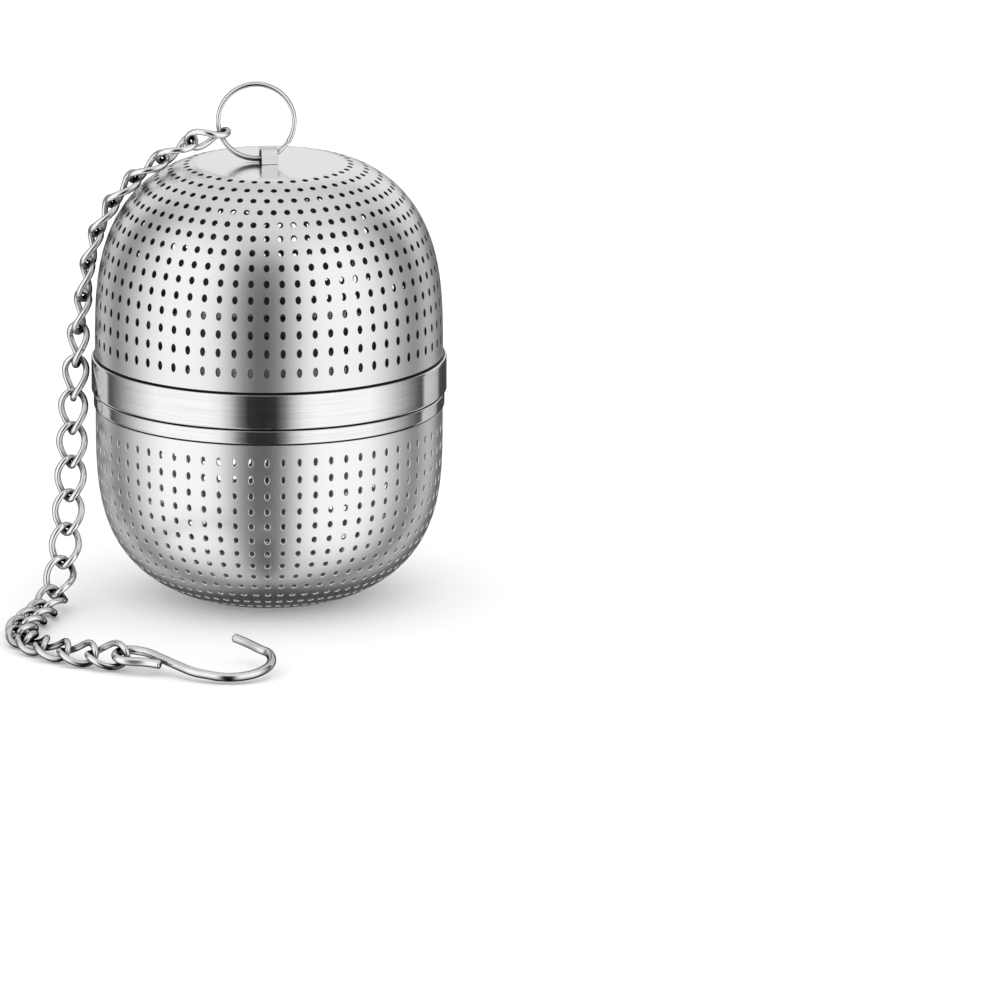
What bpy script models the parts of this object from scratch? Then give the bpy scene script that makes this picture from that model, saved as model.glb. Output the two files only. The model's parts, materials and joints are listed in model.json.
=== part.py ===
"""A screw-top tea infuser ball with its carrying ring, curb chain and cup hook.

Metres, +Z up. The origin is the centre of the bowl's flat base, so the infuser
stands on z = 0, closed, with its chain laid over the lid's left shoulder and down
to the surface that it stands on. The chain leaves to -X and the hook lies towards -Y.
"""

import math

import bmesh
import bpy
from mathutils import Matrix, Vector

# Shells: both are drawn from one sheet and turned about Z.
SEGMENTS = 40
SHEET = 0.0004
GAP = 0.0003
BASE_FLAT_RADIUS = 0.0077
BOWL_RADIUS = 0.02445
BOWL_RIM_Z = 0.0272
BOWL_CURVE = (1.7, 3.6)
LID_RADIUS = 0.0245
LID_RIM_Z = 0.0349
LID_CURVE = (1.66, 3.2)
DISC_RADIUS = 0.01015
TOP_Z = 0.0622
CURVE_POINTS = 11
WELD = 0.00001

# Screw joint between the bowl's neck ring and the lid's collar
THREAD_LEAD = 0.0024
NECK_RADIUS = 0.0228
NECK_WALL = 0.0005
NECK_TOP_Z = 0.0344
BAND_RADIUS = 0.0247
BAND_LOW_Z = BOWL_RIM_Z + GAP
BAND_HIGH_Z = 0.0294
COLLAR_RADIUS = 0.0250
COLLAR_BORE = 0.0232
COLLAR_LOW_Z = BAND_HIGH_Z + GAP
COLLAR_HIGH_Z = LID_RIM_Z - GAP
COLLAR_SPIGOT_Z = 0.0360
EDGE = 0.0002
SPIGOT_DEPTH = 0.0016
RIDGE_RADIUS = 0.0006
THREAD_CLEARANCE = 0.00032
THREAD_AXIS_RADIUS = NECK_RADIUS + 0.00005
RIDGE_LOW_Z = 0.0304
RIDGE_TURNS = 1.25
GROOVE_RUN_OUT = 0.75  # turns that the groove goes on below the ridge
GROOVE_LEAD_IN = 0.05
POINTS_PER_TURN = 40

# Eyelet: a flat strap bent into an arch, its feet welded on the lid's disc
EYELET_WIDTH = 0.0023
EYELET_RADIUS = 0.00125
EYELET_HEIGHT = 0.0023
ARCH_POINTS = 10
STRAP = 0.0004
WELD_GAP = 0.0001

# Split ring: two coils of one wire, upright in the eyelet
RING_RADIUS = 0.00535
RING_WIRE_RADIUS = 0.0003
RING_COIL_OFFSET = 0.00034
RING_CENTRE = Vector((-0.0017, 0.0, 0.06815))
RING_SEAM_DEG = -48
RING_SEAM_SPREAD_DEG = 16
RING_POINTS_PER_TURN = 28
RING_CHAIN_DEG = 200

# Curb chain: every link is an oval, twisted so that its ends stand across each other
LINK_COUNT = 25
LINK_PITCH = 0.00475
LINK_WIRE_RADIUS = 0.000425
LINK_END_GAP = 0.00028
LINK_REACH = LINK_WIRE_RADIUS + LINK_END_GAP / 2
LINK_HALF_WIDTH = 0.00185
LINK_TWIST = math.radians(45)
LINK_POINTS = 16
CHAIN_OFF_LID = 0.0017

# Cup hook: one wire, an eye at one end and an open bend at the other
HOOK_WIRE_RADIUS = 0.000625
HOOK_EYE_RADIUS = 0.0019
HOOK_SEAT = 0.0003  # the thick wire stays this much clear of a link's narrow end
HOOK_BEND_RADIUS = 0.0058
HOOK_TILT = math.radians(10)

STEEL = (0.62, 0.62, 0.63)
BRIGHT_STEEL = (0.72, 0.72, 0.73)


def clear_scene():
    for old in list(bpy.data.objects):
        bpy.data.objects.remove(old)


def new_collection(name):
    made = bpy.data.collections.new(name)
    bpy.context.scene.collection.children.link(made)
    return made


def metal(name, colour, roughness):
    made = bpy.data.materials.new(name)
    made.use_nodes = True
    shader = made.node_tree.nodes["Principled BSDF"]
    shader.inputs["Base Color"].default_value = (*colour, 1.0)
    shader.inputs["Roughness"].default_value = roughness
    shader.inputs["Metallic"].default_value = 1.0
    return made


def place(name, data, material, collection):
    """An object of this data in the collection, with the material."""
    made = bpy.data.objects.new(name, data)
    if material and not data.materials:
        data.materials.append(material)
    collection.objects.link(made)
    return made


def as_cutter(made):
    made.hide_render = True
    made.display_type = "WIRE"
    return made


def smooth(made, sharp_deg=35):
    made.data.shade_smooth()
    made.data.set_sharp_from_angle(angle=math.radians(sharp_deg))


def turned(name, profile, material, collection, closed):
    """A profile of (radius, height) pairs turned about Z by a Screw modifier."""
    points = [(radius, 0.0, height) for radius, height in profile]
    edges = [(i, i + 1) for i in range(len(points) - 1)]
    if closed:
        edges.append((len(points) - 1, 0))
    mesh = bpy.data.meshes.new(name)
    mesh.from_pydata(points, edges, [])
    made = place(name, mesh, material, collection)
    screw = made.modifiers.new("Turn", "SCREW")
    screw.axis = "Z"
    screw.steps = SEGMENTS
    screw.render_steps = SEGMENTS
    screw.use_merge_vertices = True
    screw.merge_threshold = WELD
    screw.use_smooth_shade = True
    return made


def wire(name, points, radius, material, collection, cyclic=False, sides_level=2):
    """A round wire along the points, with closed ends."""
    curve = bpy.data.curves.new(name, "CURVE")
    curve.dimensions = "3D"
    curve.bevel_depth = radius
    curve.bevel_resolution = sides_level
    curve.use_fill_caps = not cyclic
    spline = curve.splines.new("POLY")
    spline.points.add(len(points) - 1)
    for point, position in zip(spline.points, points):
        point.co = (*position, 1.0)
    spline.use_cyclic_u = cyclic
    spline.use_smooth = True
    return place(name, curve, material, collection)


def as_mesh(made, collection):
    """The curve object as a welded mesh object, which a Boolean can use."""
    bpy.context.view_layer.update()
    evaluated = made.evaluated_get(bpy.context.evaluated_depsgraph_get())
    mesh = bpy.data.meshes.new_from_object(evaluated)
    shape = bmesh.new()
    shape.from_mesh(mesh)
    bmesh.ops.remove_doubles(shape, verts=shape.verts, dist=WELD / 10)
    shape.to_mesh(mesh)
    shape.free()
    name = made.name
    world = made.matrix_world.copy()
    bpy.data.objects.remove(made)
    mesh.name = name
    result = place(name, mesh, None, collection)
    result.matrix_world = world
    return result


def boolean(target, other, operation):
    cut = target.modifiers.new(operation.title(), "BOOLEAN")
    cut.operation = operation
    cut.solver = "EXACT"
    cut.object = other


def drawn_curve(flat, radius, flat_z, wall_z, exponents, count=CURVE_POINTS):
    """From the flat's edge to the wall: a superellipse arc of (radius, height)."""
    power_out, power_up = exponents
    arc = []
    for i in range(count + 1):
        turn = math.radians(90) * i / count
        out = math.sin(turn) ** (2 / power_out)
        up = math.cos(turn) ** (2 / power_up) if i < count else 0.0
        arc.append((flat + (radius - flat) * out, wall_z + (flat_z - wall_z) * up))
    return arc


def lid_curve(count=CURVE_POINTS):
    return drawn_curve(DISC_RADIUS, LID_RADIUS, TOP_Z, LID_RIM_Z, LID_CURVE, count)


def shell(name, profile, material, collection):
    """A drawn cup: the turned outside with the sheet's thickness inwards."""
    made = turned(name, profile, material, collection, closed=False)
    sheet = made.modifiers.new("Sheet", "SOLIDIFY")
    sheet.thickness = SHEET
    sheet.offset = -1
    sheet.use_even_offset = True
    return made


def bowl_cup(material, parts):
    arc = drawn_curve(BASE_FLAT_RADIUS, BOWL_RADIUS, 0.0, BOWL_RIM_Z, BOWL_CURVE)
    return shell("bowl_cup", [*reversed(arc), (0.0, 0.0)], material, parts)


def lid_dome(material, parts):
    return shell("lid_dome", [(0.0, TOP_Z), *lid_curve()], material, parts)


def helix(low_z, turns, start_turn=0.0):
    """Points on the thread's right-hand helix, climbing from low_z."""
    count = round(turns * POINTS_PER_TURN)
    points = []
    for i in range(count + 1):
        turn = start_turn + i / POINTS_PER_TURN
        angle = turn * math.tau
        height = low_z + THREAD_LEAD * i / POINTS_PER_TURN
        points.append(
            (
                THREAD_AXIS_RADIUS * math.cos(angle),
                THREAD_AXIS_RADIUS * math.sin(angle),
                height,
            )
        )
    return points


def neck_ring(material, parts, cutters):
    """The bowl's threaded neck, with its shoulder band and a spigot in the cup's mouth."""
    spigot_out = BOWL_RADIUS - SHEET - GAP
    spigot_in = spigot_out - SHEET
    spigot_low = BOWL_RIM_Z - SPIGOT_DEPTH
    neck_in = NECK_RADIUS - NECK_WALL
    profile = [
        (NECK_RADIUS - EDGE / 2, NECK_TOP_Z),
        (NECK_RADIUS, NECK_TOP_Z - EDGE / 2),
        (NECK_RADIUS, BAND_HIGH_Z),
        (BAND_RADIUS - EDGE, BAND_HIGH_Z),
        (BAND_RADIUS, BAND_HIGH_Z - EDGE),
        (BAND_RADIUS, BAND_LOW_Z),
        (spigot_out, BAND_LOW_Z),
        (spigot_out, spigot_low),
        (spigot_in, spigot_low),
        (spigot_in, BAND_LOW_Z),
        (neck_in, BAND_HIGH_Z - SHEET),
        (neck_in, NECK_TOP_Z - EDGE / 2),
        (neck_in + EDGE / 2, NECK_TOP_Z),
    ]
    ring = turned("neck_ring", profile, material, parts, closed=True)
    points = helix(RIDGE_LOW_Z, RIDGE_TURNS)
    ridge = wire("thread_ridge", points, RIDGE_RADIUS, None, cutters, sides_level=1)
    boolean(ring, as_cutter(as_mesh(ridge, cutters)), "UNION")
    return ring


def lid_collar(material, parts, cutters):
    """The lid's outer ring, with a spigot in the dome's mouth and the thread inside."""
    spigot = LID_RADIUS - SHEET - GAP
    profile = [
        (spigot, COLLAR_SPIGOT_Z),
        (spigot, COLLAR_HIGH_Z),
        (COLLAR_RADIUS - EDGE, COLLAR_HIGH_Z),
        (COLLAR_RADIUS, COLLAR_HIGH_Z - EDGE),
        (COLLAR_RADIUS, COLLAR_LOW_Z + EDGE),
        (COLLAR_RADIUS - EDGE, COLLAR_LOW_Z),
        (COLLAR_BORE + EDGE, COLLAR_LOW_Z),
        (COLLAR_BORE, COLLAR_LOW_Z + EDGE),
        (COLLAR_BORE, COLLAR_SPIGOT_Z),
    ]
    collar = turned("lid_collar", profile, material, parts, closed=True)
    low_z = RIDGE_LOW_Z - GROOVE_RUN_OUT * THREAD_LEAD
    turns = RIDGE_TURNS + GROOVE_RUN_OUT + GROOVE_LEAD_IN
    points = helix(low_z, turns, -GROOVE_RUN_OUT)
    radius = RIDGE_RADIUS + THREAD_CLEARANCE
    groove = wire("thread_groove", points, radius, None, cutters, sides_level=1)
    boolean(collar, as_cutter(as_mesh(groove, cutters)), "DIFFERENCE")
    return collar


def arc_points(centre, radius, from_deg, to_deg, count):
    """Points (a, b) on an arc round a centre, both ends included."""
    step = math.radians(to_deg - from_deg) / count
    start = math.radians(from_deg)
    return [
        (
            centre[0] + radius * math.cos(start + step * i),
            centre[1] + radius * math.sin(start + step * i),
        )
        for i in range(count + 1)
    ]


def eyelet(material, parts):
    """The strap's side view, an arch with both feet on the disc, extruded along X."""
    curve = bpy.data.curves.new("eyelet", "CURVE")
    curve.dimensions = "2D"
    curve.fill_mode = "BOTH"
    curve.extrude = EYELET_WIDTH / 2
    crown = EYELET_HEIGHT - EYELET_RADIUS
    inner_radius = EYELET_RADIUS - STRAP
    outline = [
        (EYELET_RADIUS, 0),
        *arc_points((0, crown), EYELET_RADIUS, 0, 180, ARCH_POINTS),
        (-EYELET_RADIUS, 0),
        (-inner_radius, 0),
        *arc_points((0, crown), inner_radius, 180, 0, ARCH_POINTS),
        (inner_radius, 0),
    ]
    spline = curve.splines.new("POLY")
    spline.points.add(len(outline) - 1)
    for point, (across, up) in zip(spline.points, outline):
        point.co = (across, up, 0.0, 1.0)
    spline.use_cyclic_u = True
    made = place("eyelet", curve, material, parts)
    made.rotation_euler = (math.radians(90), 0.0, math.radians(90))
    made.location = (0.0, 0.0, TOP_Z + WELD_GAP)
    return made


def ring_point(angle_deg, across=0.0, radius=RING_RADIUS):
    """A point of the split ring, which stands in the XZ plane."""
    angle = math.radians(angle_deg)
    return RING_CENTRE + Vector(
        (radius * math.cos(angle), across, radius * math.sin(angle))
    )


def split_ring(material, parts):
    """Two flat coils side by side; the wire steps across from one to the other once."""
    count = 2 * RING_POINTS_PER_TURN
    first = RING_SEAM_DEG + RING_SEAM_SPREAD_DEG
    last = RING_SEAM_DEG + 720 - RING_SEAM_SPREAD_DEG
    middle = RING_SEAM_DEG + 360
    points = []
    for i in range(count + 1):
        angle = first + (last - first) * i / count
        step = (angle - middle) / RING_SEAM_SPREAD_DEG
        across = RING_COIL_OFFSET * max(-1.0, min(1.0, step))
        points.append(ring_point(angle, across) - ring_pivot())
    made = wire("split_ring", points, RING_WIRE_RADIUS, material, parts, sides_level=1)
    made.location = ring_pivot()
    return made


def ring_pivot():
    """Where the ring's wire rests in the eyelet: its lowest stretch, on the Z axis."""
    drop = math.sqrt(RING_RADIUS**2 - RING_CENTRE.x**2)
    return Vector((0.0, 0.0, RING_CENTRE.z - drop))


def over_lid(radius):
    """A point of the chain's route above the lid's left side, where it has this radius."""
    arc = lid_curve(200)
    i = min(range(1, len(arc) - 1), key=lambda k: abs(arc[k][0] - radius))
    before = Vector(arc[i - 1])
    after = Vector(arc[i + 1])
    along = (after - before).normalized()
    out = Vector((-along.y, along.x))
    if out.x < 0:
        out = -out
    at = Vector(arc[i]) + out * CHAIN_OFF_LID
    return Vector((-at.x, 0.0, at.y)), Vector((-out.x, 0.0, out.y))


def chain_route():
    """[(point, the way that a link's flat side faces)] from the split ring to the hook."""
    ring_in = RING_RADIUS - LINK_REACH
    start = ring_point(RING_CHAIN_DEG, 0.0, ring_in)
    route = [
        (start, Vector((-0.2, 0.7, 0.7))),
        (Vector((-0.0108, 0.0, 0.0653)), Vector((-0.3, 0.3, 0.85))),
    ]
    route += [over_lid(radius) for radius in (0.0150, 0.0190, 0.0220, 0.0236, 0.0243)]
    hanging = [
        (-0.0267, -0.0002, 0.0390, -1.0, -0.25),
        (-0.0271, -0.0006, 0.0335, -0.85, -0.6),
        (-0.0276, -0.0013, 0.0275, -0.6, -0.9),
        (-0.0278, -0.0024, 0.0205, -0.35, -1.0),
        (-0.0282, -0.0038, 0.0138, -0.2, -1.0),
        (-0.0287, -0.0054, 0.0080, -0.1, -1.0),
    ]
    route += [(Vector(row[:3]), Vector((*row[3:], 0.05))) for row in hanging]
    lying = [
        (-0.0294, -0.0074, 0.0037),
        (-0.0306, -0.0112, 0.0016),
        (-0.0322, -0.0170, 0.0013),
        (-0.0341, -0.0232, 0.0013),
        (-0.0345, -0.0290, 0.0013),
    ]
    route += [(Vector(point), Vector((0.0, 0.0, 1.0))) for point in lying]
    route += [
        (Vector((-0.0325, -0.0346, 0.0014)), Vector((-0.1, -0.1, 1.0))),
        (Vector((-0.0286, -0.0391, 0.0016)), Vector((-0.15, -0.3, 0.9))),
        (Vector((-0.0239, -0.0424, 0.0019)), Vector((-0.2, -0.55, 0.8))),
        (Vector((-0.0193, -0.0443, 0.0022)), Vector((-0.2, -0.7, 0.7))),
        (Vector((-0.0147, -0.0457, 0.0024)), Vector((-0.2, -0.7, 0.7))),
    ]
    return route


def along_route(route, steps=24):
    """The route as a dense smooth line: a Catmull-Rom curve through its points."""
    dense = []
    last = len(route) - 1
    for i in range(last):
        rows = [route[max(i - 1, 0)], route[i], route[i + 1], route[min(i + 2, last)]]
        for k in range(steps):
            dense.append(tuple(blended([row[n] for row in rows], k / steps) for n in (0, 1)))
    dense.append(route[last])
    return dense


def blended(four, t):
    """The Catmull-Rom curve between the middle two of four vectors, at share t."""
    a, b, c, d = four
    return 0.5 * (
        2 * b
        + (c - a) * t
        + (2 * a - 5 * b + 4 * c - d) * t**2
        + (3 * b - a - 3 * c + d) * t**3
    )


def link_pivots():
    """[(pivot, facing)], one for each link's hold and a last one for the hook's."""
    dense = along_route(chain_route())
    found = [dense[0]]
    at = 0
    while len(found) <= LINK_COUNT:
        here = found[-1][0]
        while (dense[at + 1][0] - here).length < LINK_PITCH:
            at += 1
        (low, low_face), (high, high_face) = dense[at], dense[at + 1]
        share = 0.5
        for halving in range(2, 30):
            far = (low.lerp(high, share) - here).length > LINK_PITCH
            share += (-1 if far else 1) * 0.5**halving
        found.append((low.lerp(high, share), low_face.lerp(high_face, share)))
    return found


def frame_at(origin, along, facing):
    """A matrix with X along, Z as near facing as it can be, and this origin."""
    x = along.normalized()
    z = (facing - x * facing.dot(x)).normalized()
    y = z.cross(x)
    turn = Matrix((x, y, z)).transposed().to_4x4()
    return Matrix.Translation(origin) @ turn


def link_curve(material, parts):
    """One link, with X along the chain and its flat side facing Z."""
    half_length = LINK_PITCH / 2 + LINK_REACH
    points = []
    for i in range(LINK_POINTS):
        angle = math.tau * i / LINK_POINTS
        along = math.cos(angle)
        side = LINK_HALF_WIDTH * math.sin(angle)
        twist = LINK_TWIST * along
        points.append(
            (
                LINK_PITCH / 2 + half_length * along,
                side * math.cos(twist),
                side * math.sin(twist),
            )
        )
    made = wire("link", points, LINK_WIRE_RADIUS, material, parts, True, 1)
    curve = made.data
    bpy.data.objects.remove(made)
    return curve


def chain(material, parts, holder):
    """The links, each with its origin on the hold that it turns on, child of the last."""
    curve = link_curve(material, parts)
    pivots = link_pivots()
    parent = holder
    for number in range(LINK_COUNT):
        origin, facing = pivots[number]
        end, end_facing = pivots[number + 1]
        link = place(f"chain_link_{number + 1:02d}", curve, None, parts)
        parented(link, frame_at(origin, end - origin, facing + end_facing), parent)
        parent = link
    return parent, pivots[LINK_COUNT][0]


def parented(child, world, parent):
    """Puts the child at a world matrix, under a parent that keeps it there."""
    bpy.context.view_layer.update()
    child.parent = parent
    child.matrix_parent_inverse = parent.matrix_world.inverted()
    child.matrix_world = world
    bpy.context.view_layer.update()


def hook_outline():
    """The hook's route in its own plane, from the eye's cut end to the tip."""
    eye = (HOOK_EYE_RADIUS - HOOK_WIRE_RADIUS - LINK_END_GAP / 2 - HOOK_SEAT, 0.0)
    cut_end = [(0.0051, -0.0030), (0.0031, -0.0023)]
    loop = arc_points(eye, HOOK_EYE_RADIUS, 265, 65, 8)
    shank = [(0.0034, 0.0009), (0.0056, -0.0013), (0.0076, -0.0034), (0.0098, -0.0055)]
    bend = arc_points((0.0148, -0.0015), HOOK_BEND_RADIUS, 240, 385, 10)
    tip = [(0.0188, 0.0022), (0.0171, 0.0042), (0.0154, 0.0059)]
    return [*cut_end, *loop, *shank, *bend, *tip]


def hook(material, parts, parent, pivot):
    knots = [Vector((x, y, 0.0)) for x, y in hook_outline()]
    dense = along_route([(knot, knot) for knot in knots], 3)
    points = [row[0] for row in dense]
    made = wire("hook", points, HOOK_WIRE_RADIUS, material, parts, sides_level=2)
    across = Vector((0.0, math.cos(HOOK_TILT), math.sin(HOOK_TILT)))
    facing = Vector((1.0, 0.0, 0.0)).cross(across)
    parented(made, frame_at(pivot, Vector((1.0, 0.0, 0.0)), facing), parent)
    return made


def main():
    clear_scene()
    parts = new_collection("tea_infuser")
    cutters = new_collection("cutters")
    cutters.hide_render = True
    satin = metal("satin_steel", STEEL, 0.32)
    brushed = metal("brushed_steel", STEEL, 0.25)
    bright = metal("bright_steel", BRIGHT_STEEL, 0.12)

    bowl_cup(satin, parts)
    neck_ring(brushed, parts, cutters)
    lid_dome(satin, parts)
    collar = lid_collar(brushed, parts, cutters)
    strap = eyelet(satin, parts)
    ring = split_ring(bright, parts)
    strap.parent = collar
    parented(ring, Matrix.Translation(ring_pivot()), strap)
    last_link, last_pivot = chain(bright, parts, ring)
    hook(bright, parts, last_link, last_pivot)


main()
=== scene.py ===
"""The looks of the tea infuser: perforated satin steel shells, brushed bands, chain and hook.

Metres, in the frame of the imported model. Every piece rides on a body of that model.
"""

import json
import math

import bpy
from mathutils import Matrix, Vector


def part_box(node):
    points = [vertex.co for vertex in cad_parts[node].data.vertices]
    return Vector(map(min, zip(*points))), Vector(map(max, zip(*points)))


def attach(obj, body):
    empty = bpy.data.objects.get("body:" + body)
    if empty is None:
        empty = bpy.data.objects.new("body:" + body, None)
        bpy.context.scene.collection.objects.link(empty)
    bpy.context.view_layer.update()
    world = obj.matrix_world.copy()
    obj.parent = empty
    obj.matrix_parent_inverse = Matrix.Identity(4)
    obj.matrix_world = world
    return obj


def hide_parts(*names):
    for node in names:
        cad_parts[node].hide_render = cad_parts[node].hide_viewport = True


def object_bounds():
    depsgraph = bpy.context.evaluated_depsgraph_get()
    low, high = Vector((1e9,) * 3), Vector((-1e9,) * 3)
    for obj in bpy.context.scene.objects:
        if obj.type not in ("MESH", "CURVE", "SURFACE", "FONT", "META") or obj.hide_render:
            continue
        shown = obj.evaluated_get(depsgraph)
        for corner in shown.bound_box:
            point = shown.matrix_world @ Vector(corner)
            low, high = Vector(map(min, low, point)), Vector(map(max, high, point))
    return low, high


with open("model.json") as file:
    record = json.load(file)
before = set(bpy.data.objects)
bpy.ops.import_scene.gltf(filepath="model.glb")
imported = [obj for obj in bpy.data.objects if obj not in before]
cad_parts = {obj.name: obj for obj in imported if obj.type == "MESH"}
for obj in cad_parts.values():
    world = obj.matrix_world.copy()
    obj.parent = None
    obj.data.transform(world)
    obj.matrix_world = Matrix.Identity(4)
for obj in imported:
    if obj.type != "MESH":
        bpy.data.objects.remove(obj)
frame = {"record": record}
cad_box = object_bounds()

# The drawn shells: sheet, and the powers of each outline's superellipse
SHEET = 0.0004
LID_CURVE = (1.66, 3.2)
DISC_RADIUS = 0.01015
BOWL_CURVE = (1.7, 3.6)
BASE_FLAT_RADIUS = 0.0077
ROUND_STEPS = 192
OUTLINE_SAMPLES = 3000

# Perforations, with one column facing the front (-Y). The lid's top row has fewer columns
# and each row below it some more. Within the narrow radius the bowl has half of them.
COLUMNS = 67
TOP_ROW_COLUMNS = 40
COLUMNS_ADDED = 6
NARROW_RADIUS = 0.0128
HOLE_MARGIN = 0.0003
FRONT_TURN = 0.75
SAME_TURN = 1e-9
RING_POINTS = 16
LID_HOLE_EDGE = 0.00005
BOWL_HOLE_EDGE = 0.00011
ROWS = 14

# Half a hole at the flat, and how much taller and narrower it is drawn at the rim
LID_HOLE = 0.00040
LID_HOLE_TALLER = 0.00023
LID_HOLE_NARROWER = 0.00007
BOWL_HOLE = 0.00038
BOWL_HOLE_TALLER = 0.00018
BOWL_HOLE_NARROWER = 0.00010

# First and last row of holes and the plain levels after them, as distances along the
# outline from the edge of its flat
LID_ROWS = (0.00144, 0.03145)
LID_RIMS = (0.0325, 0.0334)
BOWL_ROWS = (0.0030, 0.03375)
BOWL_RIM = 0.0350

# How much wider the pitch of the rows gets towards the rim, and towards the flat
LID_SPREAD = (0.36, 0.14)
BOWL_SPREAD = (0.22, 0.65)

# The last level but one, from the rim
RIM_EDGE = 0.00015

# Plain levels before the first row, from the flat's centre. Those within the few steps'
# radius have fewer points, and the shoulder comes after the flat's edge.
FLAT_LEVELS = (0.002, 0.005, 0.0078)
FEW_STEPS_RADIUS = 0.003
FEW_STEPS = 48
FLAT_SHOULDER = 0.0006
FIRST_ROW_GAP = 0.0004

# Screw joint
THREAD_LEAD = 0.0024
RIDGE_LOW_Z = 0.0304
RIDGE_TURNS = 1.25
RIDGE_HALF_WIDTH = 0.00078
RIDGE_HEIGHT = 0.00063
GROOVE_HALF_WIDTH = 0.00098
GROOVE_DEPTH = 0.00057
GROOVE_LEAD_IN = 0.75
GROOVE_RUN_OUT = 0.05
RIDGE_TAPER = 0.1
NECK_RADIUS = 0.0228
NECK_WALL = 0.0005
NECK_LIP = 0.0003
LIP_EASE = (0.00010, 0.00008)
NECK_SPIGOT = (0.02335, 0.02375)
NECK_SPIGOT_DEPTH = 0.0019
BAND_TOP_Z = 0.0294
COLLAR_BORE = 0.0232
COLLAR_SPIGOT = 0.0238
COLLAR_SEAT = 0.0003
THREAD_STEPS = 44

# The points of a rounded edge, as (in from the face, in from the edge)
BAND_TOP_EASE = ((0.00012, 0.0), (0.00003, 0.00008), (0.0, 0.0002), (0.0, 0.0003))
BAND_LOW_EASE = ((0.00015, 0.0), (0.00004, 0.00006), (0.0, 0.0002), (0.0, 0.0003))
COLLAR_EASE = ((0.00022, 0.0), (0.00008, 0.00004), (0.0, 0.00018), (0.0, 0.00032))

# Ring, chain and hook
RING_RADIUS = 0.00535
RING_WIRE = 0.00031
RING_COIL_OFFSET = 0.00034
RING_STEPS = 144
RING_SEAM_DEG = -48
RING_SEAM_SPREAD_DEG = 16
EYELET_TURN = math.radians(12)
STRAP = 0.0004
STRAP_FLARE = 0.00012
STRAP_WELD = 0.00008
STRAP_EDGE = 0.00006
ARCH_STEPS = 16
LINK_PITCH = 0.00475
LINK_STEPS = 56
LINK_WIRE = 0.00046
LINK_REACH = 0.000565
LINK_HALF_WIDTH = 0.00188
LINK_TWIST = math.radians(45)
HOOK_WIRE = 0.000625
HOOK_EYE_RADIUS = 0.0019
HOOK_EYE_X = 0.000835
HOOK_BEND_RADIUS = 0.0058
HOOK_TILT = math.radians(10)
HOOK_CHAMFER = 0.00012
RING_CHAMFER = 0.00006


# ---------------------------------------------------------------- camera

FOCUS = Vector((0.0325, 0.0, 0.0134))
ELEVATION = math.radians(14)
DISTANCE = 2.5
FRAME_WIDTH = 0.141
SENSOR_WIDTH = 36.0


def make_camera():
    data = bpy.data.cameras.new("camera")
    data.sensor_width = SENSOR_WIDTH
    data.lens = SENSOR_WIDTH * DISTANCE / FRAME_WIDTH
    data.clip_end = 50.0
    camera = bpy.data.objects.new("camera", data)
    bpy.context.scene.collection.objects.link(camera)
    back = Vector((0.0, -math.cos(ELEVATION), math.sin(ELEVATION)))
    camera.location = FOCUS + back * DISTANCE
    camera.rotation_euler = (math.pi / 2 - ELEVATION, 0.0, 0.0)
    bpy.context.scene.camera = camera


# ---------------------------------------------------------------- node graphs


class Graph:
    """Short calls for building a node tree."""

    def __init__(self, tree):
        self.tree = tree
        tree.nodes.clear()

    def add(self, kind, inputs=(), **settings):
        node = self.tree.nodes.new(kind)
        for key, value in settings.items():
            setattr(node, key, value)
        for key, value in dict(inputs).items():
            self.feed(node.inputs[key], value)
        return node

    def feed(self, socket, value):
        if isinstance(value, bpy.types.NodeSocket):
            self.tree.links.new(value, socket)
        else:
            socket.default_value = value

    def math(self, operation, *values):
        node = self.add("ShaderNodeMath", operation=operation)
        for i, value in enumerate(values):
            self.feed(node.inputs[i], value)
        return node.outputs[0]

    def mix(self, share, first, second):
        """first where share is 0, second where it is 1."""
        node = self.add("ShaderNodeMix", data_type="FLOAT")
        self.feed(node.inputs[0], share)
        self.feed(node.inputs[2], first)
        self.feed(node.inputs[3], second)
        return node.outputs[0]

    def smooth(self, value, low, high):
        node = self.add("ShaderNodeMapRange", interpolation_type="SMOOTHSTEP")
        self.feed(node.inputs["Value"], value)
        node.inputs["From Min"].default_value = low
        node.inputs["From Max"].default_value = high
        return node.outputs[0]

    def ramp(self, value, stops):
        """A grey ramp through (position, brightness) stops."""
        node = self.add("ShaderNodeValToRGB")
        node.color_ramp.interpolation = "LINEAR"
        self.feed(node.inputs[0], value)
        elements = node.color_ramp.elements
        while len(elements) > 1:
            elements.remove(elements[-1])
        for i, (position, grey) in enumerate(stops):
            element = elements[0] if i == 0 else elements.new(position)
            element.position = position
            element.color = (grey, grey, grey, 1.0)
        return node.outputs[0]

    def noise(self, vector, scale, detail=3.0, roughness=0.5):
        node = self.add("ShaderNodeTexNoise", noise_dimensions="3D")
        self.feed(node.inputs["Vector"], vector)
        node.inputs["Scale"].default_value = scale
        node.inputs["Detail"].default_value = detail
        node.inputs["Roughness"].default_value = roughness
        return node.outputs[0]


# ---------------------------------------------------------------- studio

# Brightness of the studio's walls by degrees round from the camera's side
SIDE_STOPS = (
    (0, 0.02),
    (9, 0.03),
    (15, 0.2),
    (21, 0.62),
    (28, 0.95),
    (36, 1.06),
    (74, 1.04),
    (84, 0.85),
    (92, 0.66),
    (100, 0.46),
    (110, 0.24),
    (120, 0.09),
    (124, 0.1),
    (127, 0.62),
    (140, 0.54),
    (147, 0.42),
    (151, 0.08),
    (162, 0.05),
    (180, 0.09),
)
SIDE_OFFSET = math.radians(4)
OVERHEAD_LIGHT = 0.72
BEHIND_LIGHT = 0.84
BELOW_SHARE = 0.6
LOW_DIFFUSE = 2.1
HIGH_DIFFUSE = 1.1
FLOOR_HALF_SIDE = 6.0
FLOOR_GAP = 0.00002


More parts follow.
